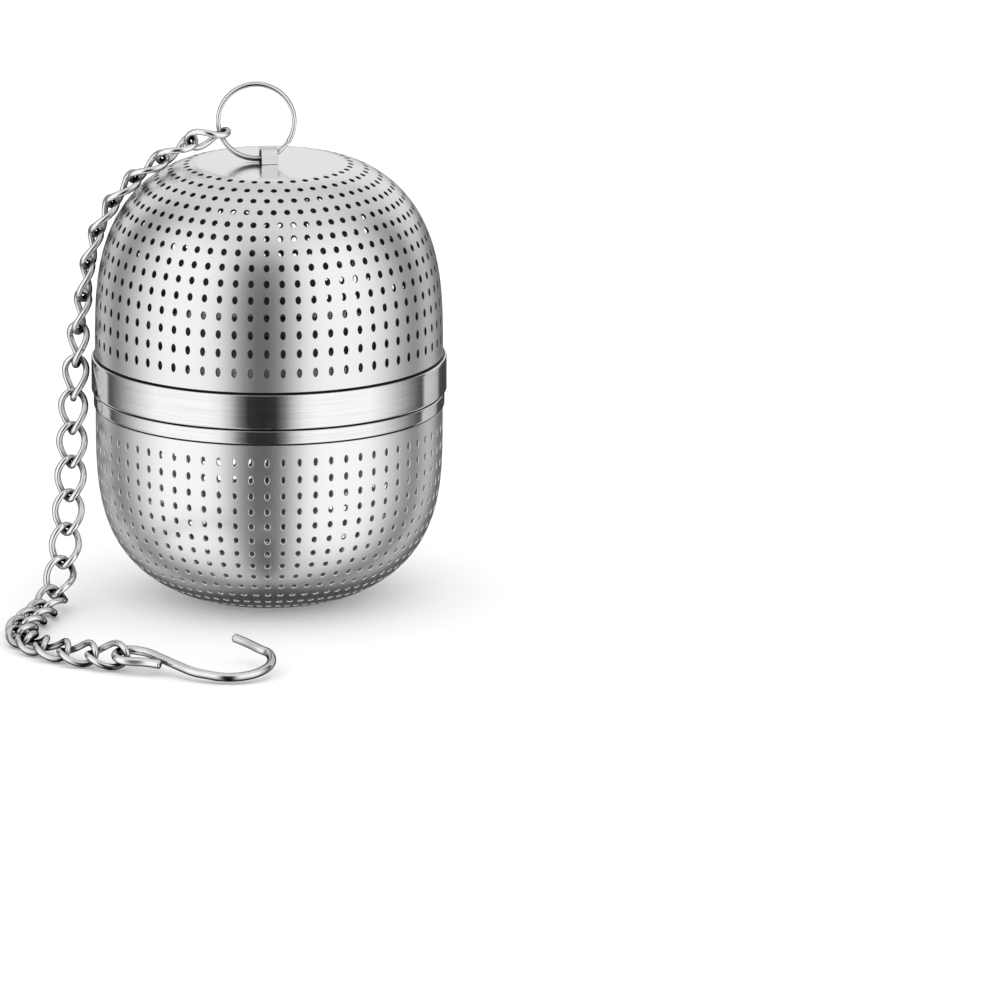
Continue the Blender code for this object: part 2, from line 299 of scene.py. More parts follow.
def make_world():
    """A white studio: bright side panels, a dark camera side, a soft overhead.

    Only mirrored rays see the panels. All others see an even light, brightest low down.
    """
    world = bpy.data.worlds.new("studio")
    bpy.context.scene.world = world
    world.use_nodes = True
    graph = Graph(world.node_tree)
    way = graph.add("ShaderNodeTexCoord").outputs["Generated"]
    axes = graph.add("ShaderNodeSeparateXYZ", {"Vector": way}).outputs
    towards = graph.math("MULTIPLY", axes["Y"], -1.0)
    turn = graph.math("ARCTAN2", axes["X"], towards)
    turn = graph.math("ADD", turn, SIDE_OFFSET)
    turn = graph.math("DIVIDE", graph.math("ABSOLUTE", turn), math.pi)
    sides = graph.ramp(turn, [(a / 180, b) for a, b in SIDE_STOPS])
    overhead = graph.smooth(axes["Z"], 0.45, 0.96)
    light = graph.mix(overhead, sides, OVERHEAD_LIGHT)
    behind = graph.math("MULTIPLY", graph.smooth(axes["Z"], 0.0, 0.14),
                        graph.smooth(axes["Y"], 0.5, 0.85))
    light = graph.mix(behind, light, BEHIND_LIGHT)
    below = graph.smooth(axes["Z"], -0.6, -1.0)
    light = graph.math("MULTIPLY", light, graph.mix(below, 1.0, BELOW_SHARE))
    soft = graph.mix(graph.smooth(axes["Z"], 0.0, 0.8), LOW_DIFFUSE, HIGH_DIFFUSE)
    mirrored = graph.add("ShaderNodeLightPath").outputs["Is Glossy Ray"]
    light = graph.mix(mirrored, soft, light)
    shown = graph.add("ShaderNodeBackground", {"Color": (1.0, 1.0, 1.0, 1.0)})
    graph.feed(shown.inputs["Strength"], light)
    out = graph.add("ShaderNodeOutputWorld")
    graph.feed(out.inputs["Surface"], shown.outputs[0])


def make_floor():
    mesh = bpy.data.meshes.new("floor")
    side = FLOOR_HALF_SIDE
    corners = [(-side, -side, 0), (side, -side, 0), (side, side, 0), (-side, side, 0)]
    mesh.from_pydata(corners, [], [(0, 1, 2, 3)])
    floor = bpy.data.objects.new("floor", mesh)
    bpy.context.scene.collection.objects.link(floor)
    floor.location.z = cad_box[0][2] - FLOOR_GAP
    material = bpy.data.materials.new("floor_paper")
    material.use_nodes = True
    graph = Graph(material.node_tree)
    paper = graph.add("ShaderNodeBsdfDiffuse", {"Color": (0.93, 0.93, 0.93, 1.0)})
    out = graph.add("ShaderNodeOutputMaterial")
    graph.feed(out.inputs["Surface"], paper.outputs[0])
    mesh.materials.append(material)
    floor.visible_glossy = False


# ---------------------------------------------------------------- metals

GRAIN_STRENGTH = 0.35
GRAIN_DEPTH = 0.00002
DISC_EDGE = 0.0002
# Reach of the painted crevice shade on the wires
CREVICE_REACH = 0.0026
# Reach of the painted contact shade on the lid's sheet
WELD_REACH = 0.0008


def around(graph):
    """(place, turn round Z from -0.5 to 0.5, height, distance from Z) of the point shaded."""
    place = graph.add("ShaderNodeTexCoord").outputs["Object"]
    axes = graph.add("ShaderNodeSeparateXYZ", {"Vector": place}).outputs
    angle = graph.math("ARCTAN2", axes["Y"], axes["X"])
    angle = graph.math("DIVIDE", angle, math.tau)
    square = graph.math(
        "ADD",
        graph.math("MULTIPLY", axes["X"], axes["X"]),
        graph.math("MULTIPLY", axes["Y"], axes["Y"]),
    )
    return place, angle, axes["Z"], graph.math("SQRT", square)


def vector(graph, x, y, z):
    node = graph.add("ShaderNodeCombineXYZ")
    for socket, value in zip(node.inputs, (x, y, z)):
        graph.feed(socket, value)
    return node.outputs[0]


def steel(name, colour, build):
    """A metal whose build(graph) returns (brightness, roughness, height, settings)."""
    material = bpy.data.materials.new(name)
    material.use_nodes = True
    graph = Graph(material.node_tree)
    brightness, roughness, height, settings = build(graph)
    tint = graph.add("ShaderNodeMix", data_type="RGBA", blend_type="MULTIPLY")
    tint.inputs[0].default_value = 1.0
    tint.inputs[6].default_value = (*colour, 1.0)
    grey = graph.add("ShaderNodeCombineColor")
    for socket in grey.inputs:
        graph.feed(socket, brightness)
    graph.feed(tint.inputs[7], grey.outputs[0])
    shader = graph.add("ShaderNodeBsdfPrincipled", {"Metallic": 1.0})
    graph.feed(shader.inputs["Base Color"], tint.outputs[2])
    graph.feed(shader.inputs["Roughness"], roughness)
    bump = graph.add("ShaderNodeBump", {"Strength": GRAIN_STRENGTH, "Distance": GRAIN_DEPTH})
    graph.feed(bump.inputs["Height"], height)
    graph.feed(shader.inputs["Normal"], bump.outputs[0])
    for key, value in settings.items():
        graph.feed(shader.inputs[key], value)
    out = graph.add("ShaderNodeOutputMaterial")
    graph.feed(out.inputs["Surface"], shader.outputs[0])
    return material


def brushed_build(roughness):
    """Fine lines round the axis, some long and some short."""

    def build(graph):
        _, angle, height, out = around(graph)
        across = graph.math("ADD", graph.math("MULTIPLY", height, 4200.0),
                            graph.math("MULTIPLY", out, 4200.0))
        fine = graph.noise(vector(graph, graph.math("MULTIPLY", angle, 14.0), across, 0.0), 1.0)
        wide = graph.math("MULTIPLY", across, 0.28)
        broad = graph.noise(vector(graph, graph.math("MULTIPLY", angle, 5.0), wide, 4.0), 1.0)
        lines = graph.math("ADD", graph.math("MULTIPLY", fine, 0.6),
                           graph.math("MULTIPLY", broad, 0.4))
        grey = graph.math("ADD", 0.72, graph.math("MULTIPLY", lines, 0.5))
        rough = graph.math("ADD", roughness - 0.04, graph.math("MULTIPLY", lines, 0.08))
        tangent = graph.add("ShaderNodeTangent", direction_type="RADIAL", axis="Z")
        settings = {
            "Anisotropic": 0.7,
            "Anisotropic Rotation": 0.25,
            "Tangent": tangent.outputs[0],
        }
        return grey, rough, lines, settings

    return build


def satin_build(roughness, grain, disc=None):
    """A pickled, drawn sheet: a soft even grain with faint vertical drawing marks.

    Inside the disc radius it is the bright unpickled sheet. When a disc is given, painted contact
    shade also darkens the sheet's colour near other parts, such as under the eyelet and the ring.
    """

    def build(graph):
        place, angle, height, out = around(graph)
        fine = graph.noise(place, 5200.0, 2.0, 0.6)
        marks = graph.noise(
            vector(graph, graph.math("MULTIPLY", angle, 420.0),
                   graph.math("MULTIPLY", height, 60.0), 0.0), 1.0)
        cloud = graph.noise(place, 90.0, 3.0)
        soft = graph.math("ADD", graph.math("MULTIPLY", marks, 0.35),
                          graph.math("MULTIPLY", cloud, 0.3))
        both = graph.math("ADD", soft, graph.math("MULTIPLY", fine, 0.35))
        grey = graph.math("ADD", 0.9, graph.math("MULTIPLY", both, 0.14))
        rough = graph.math("ADD", roughness - 0.05, graph.math("MULTIPLY", both, 0.1))
        grain_height = graph.math("MULTIPLY", fine, grain)
        if disc:
            sheet = graph.smooth(out, disc - DISC_EDGE, disc + DISC_EDGE)
            rough = graph.math("MULTIPLY", rough, graph.mix(sheet, 0.5, 1.0))
            grain_height = graph.math("MULTIPLY", grain_height, sheet)
            # Painted contact shade: an ambient occlusion mask darkens the sheet's colour near other
            # parts, such as under the eyelet and the ring.
            gap = graph.add("ShaderNodeAmbientOcclusion", {"Distance": WELD_REACH}, samples=8)
            stain = graph.smooth(gap.outputs["AO"], 0.2, 0.8)
            grey = graph.math("MULTIPLY", grey, graph.mix(stain, 0.2, 1.0))
        return grey, rough, grain_height, {}

    return build


def polished_build(roughness):
    """Drawn wire, tumbled bright: nearly a mirror, its colour darkened by painted shade where its
    turns meet.
    """

    def build(graph):
        place = graph.add("ShaderNodeTexCoord").outputs["Object"]
        smear = graph.noise(place, 900.0, 3.0)
        fine = graph.noise(place, 7000.0, 2.0)
        grey = graph.math("ADD", 0.9, graph.math("MULTIPLY", smear, 0.12))
        # Painted crevice shade: an ambient occlusion mask darkens the wire's colour where links,
        # turns and the hook meet.
        gap = graph.add("ShaderNodeAmbientOcclusion", {"Distance": CREVICE_REACH}, samples=8)
        soot = graph.smooth(gap.outputs["AO"], 0.3, 0.92)
        grey = graph.math("MULTIPLY", grey, graph.mix(soot, 0.05, 1.0))
        rough = graph.math("ADD", roughness - 0.03, graph.math("MULTIPLY", smear, 0.07))
        rim = {"Specular Tint": (0.04, 0.04, 0.04, 1.0)}
        return grey, rough, graph.math("MULTIPLY", fine, 0.25), rim

    return build


# ---------------------------------------------------------------- mesh helpers


def new_piece(name, points, faces, materials, body, normals=None, slots=None):
    mesh = bpy.data.meshes.new(name)
    mesh.from_pydata([tuple(p) for p in points], [], faces)
    for material in materials:
        mesh.materials.append(material)
    if slots:
        mesh.polygons.foreach_set("material_index", slots)
    mesh.shade_smooth()
    if normals:
        mesh.normals_split_custom_set_from_vertices([tuple(n) for n in normals])
    mesh.update()
    piece = bpy.data.objects.new(name, mesh)
    bpy.context.scene.collection.objects.link(piece)
    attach(piece, body)
    return piece


def catmull(knots, per_span, cyclic=False):
    """A smooth line through the knots."""
    count = len(knots)
    spans = count if cyclic else count - 1

    def knot(i):
        return knots[i % count] if cyclic else knots[max(0, min(count - 1, i))]

    line = []
    for i in range(spans):
        a, b, c, d = (knot(i + k) for k in (-1, 0, 1, 2))
        for k in range(per_span):
            t = k / per_span
            line.append(0.5 * (2 * b + (c - a) * t + (2 * a - 5 * b + 4 * c - d) * t**2
                               + (3 * b - a - 3 * c + d) * t**3))
    if not cyclic:
        line.append(knots[-1])
    return line


def tube(points, radius, sides, cyclic=False, chamfer=0.0):
    """(points, faces) of a round wire along a line, with closed, chamfered ends."""
    count = len(points)
    ways = []
    for i in range(count):
        before = points[i - 1] if cyclic or i else points[0]
        after = points[(i + 1) % count] if cyclic or i < count - 1 else points[-1]
        ways.append((after - before).normalized())
    side = ways[0].orthogonal().normalized()
    frames = [side]
    for i in range(1, count):
        turn = ways[i - 1].rotation_difference(ways[i])
        side = (turn @ side).normalized()
        frames.append(side)
    slip = 0.0
    if cyclic:
        last = (ways[-1].rotation_difference(ways[0]) @ frames[-1]).normalized()
        slip = math.atan2(last.cross(frames[0]).dot(ways[0]), last.dot(frames[0]))
    rings = []
    for i in range(count):
        turn = Matrix.Rotation(slip * i / count, 3, ways[i])
        side = turn @ frames[i]
        rings.append((points[i], side, ways[i].cross(side), radius))
    if not cyclic and chamfer:
        first, last = rings[0], rings[-1]
        out_first = first[0] - ways[0] * chamfer
        out_last = last[0] + ways[-1] * chamfer
        rings.insert(0, (out_first, first[1], first[2], radius - chamfer))
        rings.append((out_last, last[1], last[2], radius - chamfer))
    made = []
    for centre, u, v, r in rings:
        for k in range(sides):
            a = math.tau * k / sides
            made.append(centre + (u * math.cos(a) + v * math.sin(a)) * r)
    faces = []
    total = len(rings)
    for i in range(total if cyclic else total - 1):
        low, high = i * sides, ((i + 1) % total) * sides
        for k in range(sides):
            m = (k + 1) % sides
            faces.append((low + k, low + m, high + m, high + k))
    if not cyclic:
        faces.append(tuple(reversed(range(sides))))
        faces.append(tuple(range((total - 1) * sides, total * sides)))
    return made, faces


def sharpen(piece, degrees):
    piece.data.set_sharp_from_angle(angle=math.radians(degrees))


# ---------------------------------------------------------------- perforated shells


class Outline:
    """A drawn shell's outside: distance along it from the flat's centre to the rim."""

    def __init__(self, flat, radius, flat_z, wall_z, exponents):
        power_out, power_up = exponents
        line = [(0.0, flat_z)]
        for i in range(OUTLINE_SAMPLES + 1):
            turn = math.pi / 2 * i / OUTLINE_SAMPLES
            out = math.sin(turn) ** (2 / power_out)
            up = math.cos(turn) ** (2 / power_up) if i < OUTLINE_SAMPLES else 0.0
            line.append((flat + (radius - flat) * out, wall_z + (flat_z - wall_z) * up))
        along = [0.0]
        for (r0, z0), (r1, z1) in zip(line, line[1:]):
            along.append(along[-1] + math.hypot(r1 - r0, z1 - z0))
        self.line = line
        self.along = along
        self.length = along[-1]
        self.flat = flat
        self.side = 1.0 if flat_z > wall_z else -1.0

    def at(self, s):
        """(radius, height, outward normal in radius and height)."""
        s = max(0.0, min(self.length, s))
        low, high = 0, len(self.along) - 1
        while high - low > 1:
            middle = (low + high) // 2
            if self.along[middle] <= s:
                low = middle
            else:
                high = middle
        span = self.along[high] - self.along[low]
        share = (s - self.along[low]) / span if span else 0.0
        (r0, z0), (r1, z1) = self.line[low], self.line[high]
        radius = r0 + (r1 - r0) * share
        height = z0 + (z1 - z0) * share
        if s <= self.flat:
            return radius, height, 0.0, self.side
        ahead, behind = min(high + 12, len(self.line) - 1), max(low - 12, 1)
        dr = self.line[ahead][0] - self.line[behind][0]
        dz = self.line[ahead][1] - self.line[behind][1]
        size = math.hypot(dr, dz)
        return radius, height, -dz * self.side / size, dr * self.side / size

    def place(self, s, angle, depth):
        """A point this deep below the outside, and the outward normal there."""
        radius, height, nr, nz = self.at(s)
        c, d = math.cos(angle), math.sin(angle)
        normal = Vector((nr * c, nr * d, nz))
        return Vector((radius * c, radius * d, height)) - normal * depth, normal


class ShellMesh:
    """Points, normals and faces of a perforated shell with both its sides."""

    def __init__(self, outline, sheet, edge):
        self.outline = outline
        self.sheet = sheet
        self.edge = edge
        self.flipped = outline.side < 0
        self.points = []
        self.normals = []
        self.faces = []
        self.slots = []

    def point(self, s, angle, depth):
        place, out = self.outline.place(s, angle, depth)
        self.points.append(place)
        self.normals.append(out if depth < self.sheet / 2 else -out)
        return len(self.points) - 1

    def level(self, s, fractions, depth):
        """[(angle in turns, point)] round the shell at one distance along it."""
        return [(f, self.point(s, f * math.tau, depth)) for f in sorted(fractions)]

    def face(self, corners, inside, slot=None):
        self.faces.append(tuple(reversed(corners)) if inside else tuple(corners))
        if slot is None:
            slot = 2 if inside != self.flipped else 0
        self.slots.append(slot)

    def strip(self, inner, outer, inside):
        """Joins two closed levels, inner nearer the flat's centre."""
        a, b = inner, outer
        i = j = 0
        start = min(range(len(b)), key=lambda k: abs(b[k][0] - a[0][0]))
        b = [(f + (1.0 if k < start else 0.0), p) for k, (f, p) in enumerate(b)]
        b = b[start:] + b[:start]
        a = a + [(a[0][0] + 1.0, a[0][1])]
        b = b + [(b[0][0] + 1.0, b[0][1])]
        while i < len(a) - 1 or j < len(b) - 1:
            if i == len(a) - 1:
                step_a = False
            elif j == len(b) - 1:
                step_a = True
            else:
                step_a = a[i + 1][0] < b[j + 1][0] - SAME_TURN
                both = abs(a[i + 1][0] - b[j + 1][0]) <= SAME_TURN
                if both:
                    self.face((a[i][1], b[j][1], b[j + 1][1], a[i + 1][1]), inside)
                    i, j = i + 1, j + 1
                    continue
            if step_a:
                self.face((a[i][1], b[j][1], a[i + 1][1]), inside)
                i += 1
            else:
                self.face((a[i][1], b[j][1], b[j + 1][1]), inside)
                j += 1

    def fan(self, level, depth, inside):
        centre = self.point(0.0, 0.0, depth)
        for (_, p), (_, q) in zip(level, level[1:] + level[:1]):
            self.face((centre, p, q), inside)

    def hole_row(self, s, half_width, half_height, count, stagger):
        """One row of holes; returns its four levels as (inner, outer) for both sides."""
        radius = self.outline.at(s)[0]
        cell = 1.0 / count
        reach = half_height + HOLE_MARGIN
        ends = {}
        for depth, inside in ((0.0, False), (self.sheet, True)):
            halves = [((k / 2 + stagger) * cell) % 1.0 for k in range(2 * count)]
            low = {round(f, 9): p for f, p in self.level(s - reach, halves, depth)}
            high = {round(f, 9): p for f, p in self.level(s + reach, halves, depth)}
            sides = [((k + 0.5 + stagger) * cell) % 1.0 for k in range(count)]
            middle = {round(f, 9): p for f, p in self.level(s, sides, depth)}
            ends[inside] = (low, high, middle)
        rings = []
        for k in range(count):
            centre = (k + stagger) * cell
            rings.append(self.hole(s, centre, radius, half_width, half_height))
        for inside, (low, high, middle) in ends.items():
            for k in range(count):
                centre = (k + stagger) * cell
                left = round((centre - cell / 2) % 1.0, 9)
                right = round((centre + cell / 2) % 1.0, 9)
                mid = round(centre % 1.0, 9)
                border = [middle[right], high[right], high[mid], high[left],
                          middle[left], low[left], low[mid], low[right]]
                ring = rings[k][1 if inside else 0]
                self.cell(border, ring, inside)
        levels = []
        for inside in (False, True):
            low, high, _ = ends[inside]
            levels.append((sorted(low.items()), sorted(high.items())))
        return levels

    def hole(self, s, centre, radius, half_width, half_height):
        """A punched hole with rounded edges; returns its outer and its inner ring."""
        rows = []
        edge = self.edge
        # (wider than the hole by this share of the edge, depth), from outside to inside
        steps = (
            (1.0, 0.0),
            (0.3, 0.3 * edge),
            (0.0, edge),
            (0.0, self.sheet - 0.4 * edge),
            (0.5, self.sheet),
        )
        for number, (wide, depth) in enumerate(steps):
            ring = []
            for k in range(RING_POINTS):
                a = math.tau * k / RING_POINTS
                turn = centre * math.tau + (half_width + wide * edge) * math.cos(a) / radius
                along = s + (half_height + wide * edge) * math.sin(a)
                index = self.point(along, turn, depth)
                if 0 < number < len(steps) - 1:
                    core, out = self.outline.place(s, centre * math.tau, depth)
                    inward = (core - self.points[index]).normalized()
                    blend = (inward + out).normalized() if number == 1 else inward
                    self.normals[index] = blend
                ring.append(index)
            rows.append(ring)
        for first, second in zip(rows, rows[1:]):
            for k in range(RING_POINTS):
                m = (k + 1) % RING_POINTS
                self.face((first[k], second[k], second[m], first[m]), self.flipped, 1)
        return rows[0], rows[-1]

    def cell(self, border, ring, inside):
        """The sheet between a cell's eight border points and its hole's ring."""
        half = RING_POINTS // 8
        flip = inside != self.flipped
        for k in range(8):
            start = k * half
            chain = [ring[(start + i) % RING_POINTS] for i in range(half + 1)]
            first, second = border[k], border[(k + 1) % 8]
            self.face((first, chain[0], chain[1]), flip)
            self.face((first, *chain[1:], second), flip)

    def build(self, rows, rim_rings):
        """Holes at the rows, plain sheet between them, and a rim at the open end."""
        full = [k / ROUND_STEPS for k in range(ROUND_STEPS)]
        few = [k / FEW_STEPS for k in range(FEW_STEPS)]
        previous = [None, None]
        sides = ((0, 0.0), (1, self.sheet))
        flat = self.outline.flat
        first_row = rows[0][0] - rows[0][2] - FIRST_ROW_GAP
        plain = [s for s in (*FLAT_LEVELS, flat, flat + FLAT_SHOULDER) if s < first_row]
        for s in plain:
            for side, depth in sides:
                level = self.level(s, few if s < FEW_STEPS_RADIUS else full, depth)
                inside = bool(side) != self.flipped
                if previous[side] is None:
                    self.fan(level, depth, inside)
                else:
                    self.strip(previous[side], level, inside)
                previous[side] = level
        for s, half_width, half_height, count, stagger in rows:
            made = self.hole_row(s, half_width, half_height, count, stagger)
            for side, _ in sides:
                inside = bool(side) != self.flipped
                self.strip(previous[side], made[side][0], inside)
                previous[side] = made[side][1]
        for s in rim_rings:
            for side, depth in sides:
                level = self.level(s, full, depth)
                self.strip(previous[side], level, bool(side) != self.flipped)
                previous[side] = level
        outer, inner = previous
        for k in range(len(outer)):
            m = (k + 1) % len(outer)
            corners = (outer[k][1], inner[k][1], inner[m][1], outer[m][1])
            self.face(corners, self.flipped)


def spaced_rows(first, last, count, growth, flare):
    """Distances from first to last, their pitch wider at the rim and by the flat."""
    shares = [i / (count - 2) for i in range(count - 1)]
    gaps = [1.0 + growth * t**2.5 + flare * (1.0 - t) ** 6 for t in shares]
    rows = [first]
    for gap in gaps:
        rows.append(rows[-1] + gap * (last - first) / sum(gaps))
    return rows


def make_shell(name, node, body, outline, rows, rims, materials, edge):
    shell = ShellMesh(outline, SHEET, edge)
    shell.build(rows, rims)
    piece = new_piece(name, shell.points, shell.faces, materials, body,
                      normals=shell.normals, slots=shell.slots)
    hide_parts(node)


def make_lid(materials):
    low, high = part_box("lid_dome")
    radius = high[0]
    outline = Outline(DISC_RADIUS, radius, high[2], low[2], LID_CURVE)
    flat = outline.flat
    distances = spaced_rows(flat + LID_ROWS[0], flat + LID_ROWS[1], ROWS, *LID_SPREAD)
    rows = []
    for i, s in enumerate(distances):
        share = i / (len(distances) - 1)
        count = min(COLUMNS, TOP_ROW_COLUMNS + COLUMNS_ADDED * i)
        stagger = 0.5 if count < COLUMNS and i % 2 else 0.0
        stagger += FRONT_TURN * count
        half_height = LID_HOLE + LID_HOLE_TALLER * share**1.5
        half_width = LID_HOLE - LID_HOLE_NARROWER * share**2
        rows.append((s, half_width, half_height, count, stagger % 1.0))
    length = outline.length
    rims = [*(flat + s for s in LID_RIMS), length - RIM_EDGE, length]
    make_shell("lid_dome_shell", "lid_dome", "lid_collar", outline, rows, rims, materials,
               LID_HOLE_EDGE)


def make_bowl(materials):
    low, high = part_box("bowl_cup")
    outline = Outline(BASE_FLAT_RADIUS, high[0], low[2], high[2], BOWL_CURVE)
    flat = outline.flat
    distances = spaced_rows(flat + BOWL_ROWS[0], flat + BOWL_ROWS[1], ROWS, *BOWL_SPREAD)
    rows = []
    for i, s in enumerate(distances):
        share = i / (len(distances) - 1)
        count = COLUMNS if outline.at(s)[0] > NARROW_RADIUS else COLUMNS // 2
        half_height = BOWL_HOLE + BOWL_HOLE_TALLER * share**2
        half_width = BOWL_HOLE - BOWL_HOLE_NARROWER * share**2
        rows.append((s, half_width, half_height, count, FRONT_TURN * count % 1.0))
    length = outline.length
    rims = [flat + BOWL_RIM, length - RIM_EDGE, length]
    make_shell("bowl_shell", "bowl_cup", "bowl", outline, rows, rims, materials,
               BOWL_HOLE_EDGE)


# ---------------------------------------------------------------- bands and thread


def ridge_height(angle, height, half_width, top, run_in=0.0, run_out=0.0):
    """How far a thread ridge stands out here: round, with tapered ends."""
    best = 0.0
    turn = (angle / math.tau) % 1.0
    start = -run_in
    end = RIDGE_TURNS + run_out
    for lap in range(math.floor(start) - 1, math.ceil(end) + 1):
        at = lap + turn
        if not start <= at <= end:
            continue
        centre = RIDGE_LOW_Z + THREAD_LEAD * at
        off = abs(height - centre) / half_width
        if off >= 1.0:
            continue
        taper = min(1.0, (at - start) / RIDGE_TAPER, (end - at) / RIDGE_TAPER)
        best = max(best, top * taper * math.cos(off * math.pi / 2) ** 1.2)
    return best


def turned_grid(name, profile, materials, body, shift, gaps, inner=()):
    """A closed profile turned about Z, each point's radius moved by shift(k, angle, z).

    The spans in gaps lie inside a joint and take the second material, painted dark as the joint's
    shade, and those in inner face the inside and take the third, which the neck paints dark as
    inner shade.
    """
    points, faces, slots = [], [], []
    count = len(profile)
    for i in range(ROUND_STEPS):
        a = math.tau * i / ROUND_STEPS
        for k, (radius, height) in enumerate(profile):
            r = radius + shift(k, a, height)
            points.append((r * math.cos(a), r * math.sin(a), height))
    for i in range(ROUND_STEPS):
        here, there = i * count, ((i + 1) % ROUND_STEPS) * count
        for k in range(count):
            m = (k + 1) % count
            faces.append((here + k, here + m, there + m, there + k))
            slots.append(1 if k in gaps else 2 if k in inner else 0)
    piece = new_piece(name, points, faces, materials, body, slots=slots)
    sharpen(piece, 42)
    return piece


def eased(ease, radius, edge, way):
    """The points of a rounded edge, from the edge onto the face, upwards where way is 1."""
    return [(radius - deep, edge + way * off) for deep, off in ease]


def make_neck(materials):
    """The shoulder band and the neck of rolled sheet with its round thread."""
    box_low, box_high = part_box("neck_ring")
    top = box_high[2]
    band = box_high[0]
    low, high = box_low[2] + NECK_SPIGOT_DEPTH, BAND_TOP_Z
    outside = [
        *eased(BAND_TOP_EASE, band, high, -1),
        *reversed(eased(BAND_LOW_EASE, band, low, 1)),
    ]
    within, without = NECK_SPIGOT
    spigot = [(without, low), (without, box_low[2]), (within, box_low[2]), (within, low)]
    lip_low = top - NECK_LIP
    inner_low = high - SHEET
    neck, inner = [], []
    for i in range(THREAD_STEPS + 1):
        neck.append((NECK_RADIUS, lip_low - (lip_low - high) * i / THREAD_STEPS))
        inner.append((NECK_RADIUS - NECK_WALL,
                      inner_low + (lip_low - inner_low) * i / THREAD_STEPS))
    lip = [
        (NECK_RADIUS - NECK_WALL + LIP_EASE[0], top - LIP_EASE[1]),
        (NECK_RADIUS - NECK_WALL / 2, top),
        (NECK_RADIUS - LIP_EASE[0], top - LIP_EASE[1]),
    ]
    profile = [*neck, *outside, *spigot, *inner, *lip]
    first_inner = len(neck) + len(outside) + len(spigot)
    last_inner = first_inner + len(inner)

    def shift(k, angle, z):
        if k < len(neck) or first_inner <= k < last_inner:
            return ridge_height(angle, z, RIDGE_HALF_WIDTH, RIDGE_HEIGHT)
        return 0.0

    edge = len(neck) + len(outside) - 1
    # These spans are painted dark as the shade in the joint.
    gaps = {len(neck) - 1, edge, edge + 1}
    # The inner face takes the third material, painted dark as the shade inside the infuser.
    inner_face = range(first_inner - 1, last_inner)
    piece = turned_grid("neck_ring_rolled", profile, materials, "bowl", shift, gaps, inner_face)
    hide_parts("neck_ring")


def make_collar(materials):
    """The lid's brushed collar, with the thread's groove inside."""
    box_low, box_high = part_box("lid_collar")
    radius = box_high[0]
    low, top = box_low[2], box_high[2]
    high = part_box("lid_dome")[0][2] - COLLAR_SEAT
    outside = [
        (COLLAR_SPIGOT, top),
        (COLLAR_SPIGOT, high),
        *eased(COLLAR_EASE, radius, high, -1),
        *reversed(eased(COLLAR_EASE, radius, low, 1)),
        (COLLAR_BORE + 0.0002, low),
        (COLLAR_BORE + 0.00005, low + 0.00006),
    ]
    bore = []
    for i in range(THREAD_STEPS + 1):
        bore.append((COLLAR_BORE, low + 0.0002 + (top - low - 0.0003) * i / THREAD_STEPS))
    profile = [*outside, *bore]

    def shift(k, angle, z):
        if k >= len(outside):
            return ridge_height(angle, z, GROOVE_HALF_WIDTH, GROOVE_DEPTH,
                                GROOVE_LEAD_IN, GROOVE_RUN_OUT)
        return 0.0

    # The spigot's spans take the second material, painted dark as the shade in the joint.
    piece = turned_grid("collar_brushed", profile, materials, "lid_collar", shift, {0, 1})
    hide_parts("lid_collar")


# ---------------------------------------------------------------- eyelet, ring, chain, hook


def make_eyelet(material):
    """A strap bent into an arch, its cut edges eased and its feet turned out a little."""
    low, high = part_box("eyelet")
    base = low[2] - STRAP_WELD
    height = high[2] - base
    half_width = (high[0] - low[0]) / 2
    outer = (high[1] - low[1]) / 2
    inner = outer - STRAP
    crown = height - outer
    flare = STRAP_FLARE
    legs = [(outer + flare, 0.0), (outer + flare * 0.4, 0.00025), (outer, 0.0006)]
    knots = [*legs]
    for i in range(ARCH_STEPS + 1):
        a = math.pi * i / ARCH_STEPS
        knots.append((outer * math.cos(a), crown + outer * math.sin(a)))
    knots += [(-y, z) for y, z in reversed(legs)]
    inside = [(-inner - flare, 0.0), (-inner, 0.0005)]
    for i in range(ARCH_STEPS + 1):
        a = math.pi - math.pi * i / ARCH_STEPS
        inside.append((inner * math.cos(a), crown + inner * math.sin(a)))
    inside += [(inner, 0.0005), (inner + flare, 0.0)]
    outline = knots + inside
    count = len(outline)
    points, faces = [], []
    for x in (-half_width, half_width):
        points += [(x, y, base + z) for y, z in outline]
    for k in range(count):
        m = (k + 1) % count
        faces.append((k, m, count + m, count + k))
    across = len(inside)
    for i in range(across - 1):
        a, b = count - 1 - i, count - 2 - i
        share_a = round(i * (len(knots) - 1) / (across - 1))
        share_b = round((i + 1) * (len(knots) - 1) / (across - 1))
        strip = [a, *range(share_a, share_b + 1), b]
        faces.append(tuple(reversed(strip)))
        faces.append(tuple(count + p for p in strip))
    turn = Matrix.Rotation(EYELET_TURN, 3, "Z")
    points = [turn @ Vector(p) for p in points]
    piece = new_piece("eyelet_strap", points, faces, [material], "lid_collar")
    bevel = piece.modifiers.new("Edge", "BEVEL")
    bevel.width = STRAP_EDGE
    bevel.segments = 2
    bevel.limit_method = "ANGLE"
    bevel.angle_limit = math.radians(50)
    sharpen(piece, 40)
    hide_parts("eyelet")


def make_ring(material):
    """Two coils of one wire side by side, crossing over once."""
    low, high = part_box("split_ring")
    centre = Vector(((low[0] + high[0]) / 2, 0.0, (low[2] + high[2]) / 2))
    first = RING_SEAM_DEG + RING_SEAM_SPREAD_DEG
    last = RING_SEAM_DEG + 720 - RING_SEAM_SPREAD_DEG
    middle = RING_SEAM_DEG + 360
    line = []
    for i in range(RING_STEPS + 1):
        angle = first + (last - first) * i / RING_STEPS
        step = max(-1.0, min(1.0, (angle - middle) / RING_SEAM_SPREAD_DEG))
        across = RING_COIL_OFFSET * math.sin(step * math.pi / 2)
        a = math.radians(angle)
        line.append(centre + Vector((RING_RADIUS * math.cos(a), across, RING_RADIUS * math.sin(a))))
    points, faces = tube(line, RING_WIRE, 14, chamfer=RING_CHAMFER)
    piece = new_piece("split_ring_coils", points, faces, [material], "split_ring")
    sharpen(piece, 50)
    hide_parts("split_ring")


